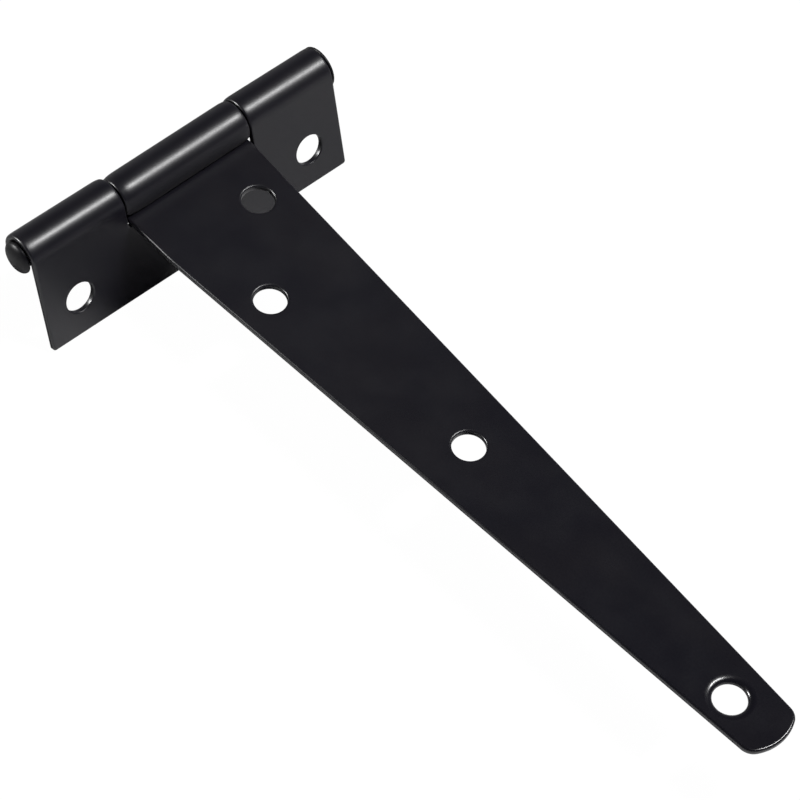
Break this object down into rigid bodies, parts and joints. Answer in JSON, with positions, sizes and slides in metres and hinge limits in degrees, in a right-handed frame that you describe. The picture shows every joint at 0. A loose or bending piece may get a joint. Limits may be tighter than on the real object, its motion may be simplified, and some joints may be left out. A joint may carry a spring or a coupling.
{
  "type": "t hinge",
  "caption": "Surface-mount T hinge: a short rectangular butt leaf and a long tapered strap with a rounded tip, rolled around one pin, with plain screw holes, coated satin black.",
  "frame": {"origin": "on the strap's flat mounting face, on its centreline, midway between its second and third screw holes, 55.4 mm from the pin's axis", "axes": "+X along the strap towards its tip, +Y along the pin towards its formed head, +Z out of the strap's front face (the side the barrel bulges to)"},
  "size_m": [0.1558, 0.0714, 0.0224],
  "materials": {
    "butt_coating": "satin black powder coat",
    "strap_coating": "satin black powder coat",
    "pin_coating": "satin black coat, slightly glossier"
  },
  "bodies": {
    "strap": {"strap_leaf": "strap_coating"},
    "butt": {"butt_leaf": "butt_coating", "hinge_pin": "pin_coating"}
  },
  "joints": [
    {"name": "hinge_turn", "type": "hinge", "parent": "strap", "child": "butt", "pos_m": [-0.0554, 0, 0.0027], "axis": [0, 1, 0], "range_deg": [-1.5, 297]}
  ]
}
